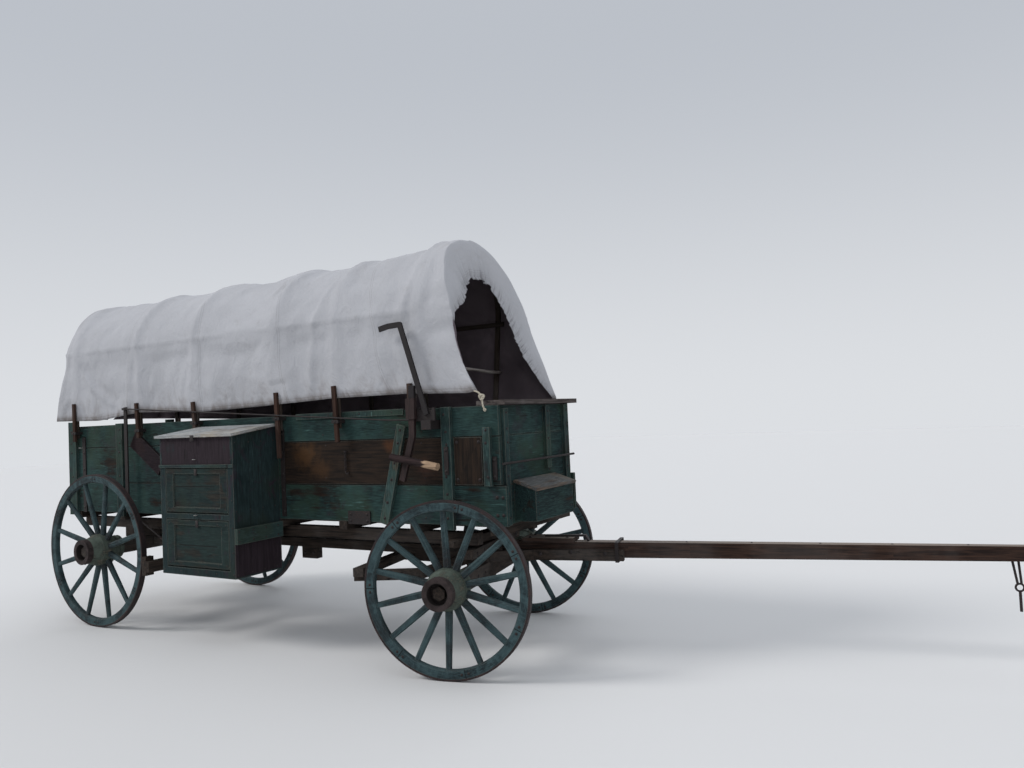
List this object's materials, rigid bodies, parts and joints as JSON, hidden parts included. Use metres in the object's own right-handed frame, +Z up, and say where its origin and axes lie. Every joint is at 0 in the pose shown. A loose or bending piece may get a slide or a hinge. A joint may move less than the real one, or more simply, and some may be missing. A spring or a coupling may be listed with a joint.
{
  "type": "covered wagon",
  "caption": "Covered freight wagon with a plank bed, canvas cover on bows, four spoked wheels, steering front gear, side cupboard and jockey box.",
  "frame": {"origin": "on the ground under the middle of the bounding box", "axes": "+X forward along the bed toward the tongue, +Y to the wagon's left, +Z up"},
  "size_m": [7.95, 1.98, 2.948],
  "materials": {
    "wheel_wood": "matte",
    "tyre_iron": "matte",
    "gear_wood": "matte",
    "tongue_wood": "matte",
    "bed_paint": "matte",
    "bare_wood": "matte",
    "stake_wood": "matte",
    "lid_paint": "matte",
    "iron": "matte",
    "canvas": "matte"
  },
  "bodies": {
    "bed": {"bed_irons": "iron", "bed_sills": "gear_wood", "bow_slats": "bare_wood", "bow_staples": "iron", "bows": "bare_wood", "brake_arm": "iron", "brake_beam": "gear_wood", "brake_billet": "bare_wood", "brake_hangers": "iron", "brake_lever": "iron", "brake_ratchet": "iron", "brake_rod": "iron", "cover": "canvas", "cover_stakes": "stake_wood", "cross_bars": "gear_wood", "cupboard_case": "bed_paint", "cupboard_trim": "bed_paint", "diagonal_board": "bare_wood", "floor_boards": "bare_wood", "front_bolster": "gear_wood", "front_gate": "bed_paint", "gate_cleats": "bed_paint", "gate_rod": "iron", "jockey_box": "bed_paint", "kingpin": "iron", "reach_pole": "gear_wood", "rear_axle": "gear_wood", "rear_bolster": "gear_wood", "rear_hounds": "gear_wood", "side_boards_left": "bed_paint", "side_boards_right": "bed_paint", "side_cleats": "bed_paint", "side_struts": "bare_wood", "tailgate_hinge": "iron", "top_board": "bed_paint"},
    "front_gear": {"front_axle": "gear_wood", "sand_board": "gear_wood", "front_hounds": "gear_wood", "sway_bar": "gear_wood", "tongue": "tongue_wood", "tongue_saddle": "bare_wood", "tongue_irons": "iron", "tongue_chain": "iron"},
    "tailgate_body": {"tailgate": "bed_paint"},
    "jockey_lid_body": {"jockey_lid": "bare_wood"},
    "cupboard_lid_body": {"cupboard_lid": "lid_paint"},
    "upper_door_body": {"cupboard_upper_door": "bed_paint"},
    "lower_door_body": {"cupboard_lower_door": "bed_paint"},
    "front_left_wheel": {"front_left_hub": "wheel_wood", "front_left_spokes": "wheel_wood", "front_left_tyre": "tyre_iron"},
    "front_right_wheel": {"front_right_hub": "wheel_wood", "front_right_spokes": "wheel_wood", "front_right_tyre": "tyre_iron"},
    "rear_left_wheel": {"rear_left_hub": "wheel_wood", "rear_left_spokes": "wheel_wood", "rear_left_tyre": "tyre_iron"},
    "rear_right_wheel": {"rear_right_hub": "wheel_wood", "rear_right_spokes": "wheel_wood", "rear_right_tyre": "tyre_iron"}
  },
  "joints": [
    {"name": "steering", "type": "hinge", "parent": "bed", "child": "front_gear", "pos_m": [0.572, 0, 0.7], "axis": [0, 0, 1], "range_deg": [-38, 13.9]},
    {"name": "front_left_spin", "type": "hinge", "parent": "front_gear", "child": "front_left_wheel", "pos_m": [0.39382, 0.83112, 0.559], "axis": [-0.2096, 0.9778, 0], "continuous": true},
    {"name": "front_right_spin", "type": "hinge", "parent": "front_gear", "child": "front_right_wheel", "pos_m": [0.75018, -0.83112, 0.559], "axis": [-0.2096, 0.9778, 0], "continuous": true},
    {"name": "rear_left_spin", "type": "hinge", "parent": "bed", "child": "rear_left_wheel", "pos_m": [-2.858, 0.85, 0.642], "axis": [0, 1, 0], "continuous": true},
    {"name": "rear_right_spin", "type": "hinge", "parent": "bed", "child": "rear_right_wheel", "pos_m": [-2.858, -0.85, 0.642], "axis": [0, 1, 0], "continuous": true},
    {"name": "tailgate_drop", "type": "hinge", "parent": "bed", "child": "tailgate_body", "pos_m": [-3.734, 0, 0.946], "axis": [0, -1, 0], "range_deg": [0, 170]},
    {"name": "jockey_lid_lift", "type": "hinge", "parent": "bed", "child": "jockey_lid_body", "pos_m": [1, 0, 1.19176], "axis": [0, -1, 0], "range_deg": [0, 72]},
    {"name": "cupboard_lid_lift", "type": "hinge", "parent": "bed", "child": "cupboard_lid_body", "pos_m": [-1.428, -0.547, 1.63771], "axis": [-1, 0, 0], "range_deg": [0, 45]},
    {"name": "upper_door_drop", "type": "hinge", "parent": "bed", "child": "upper_door_body", "pos_m": [-1.428, -0.942, 1.01], "axis": [1, 0, 0], "range_deg": [0, 90]},
    {"name": "lower_door_drop", "type": "hinge", "parent": "bed", "child": "lower_door_body", "pos_m": [-1.428, -0.942, 0.6], "axis": [1, 0, 0], "range_deg": [0, 90]}
  ]
}
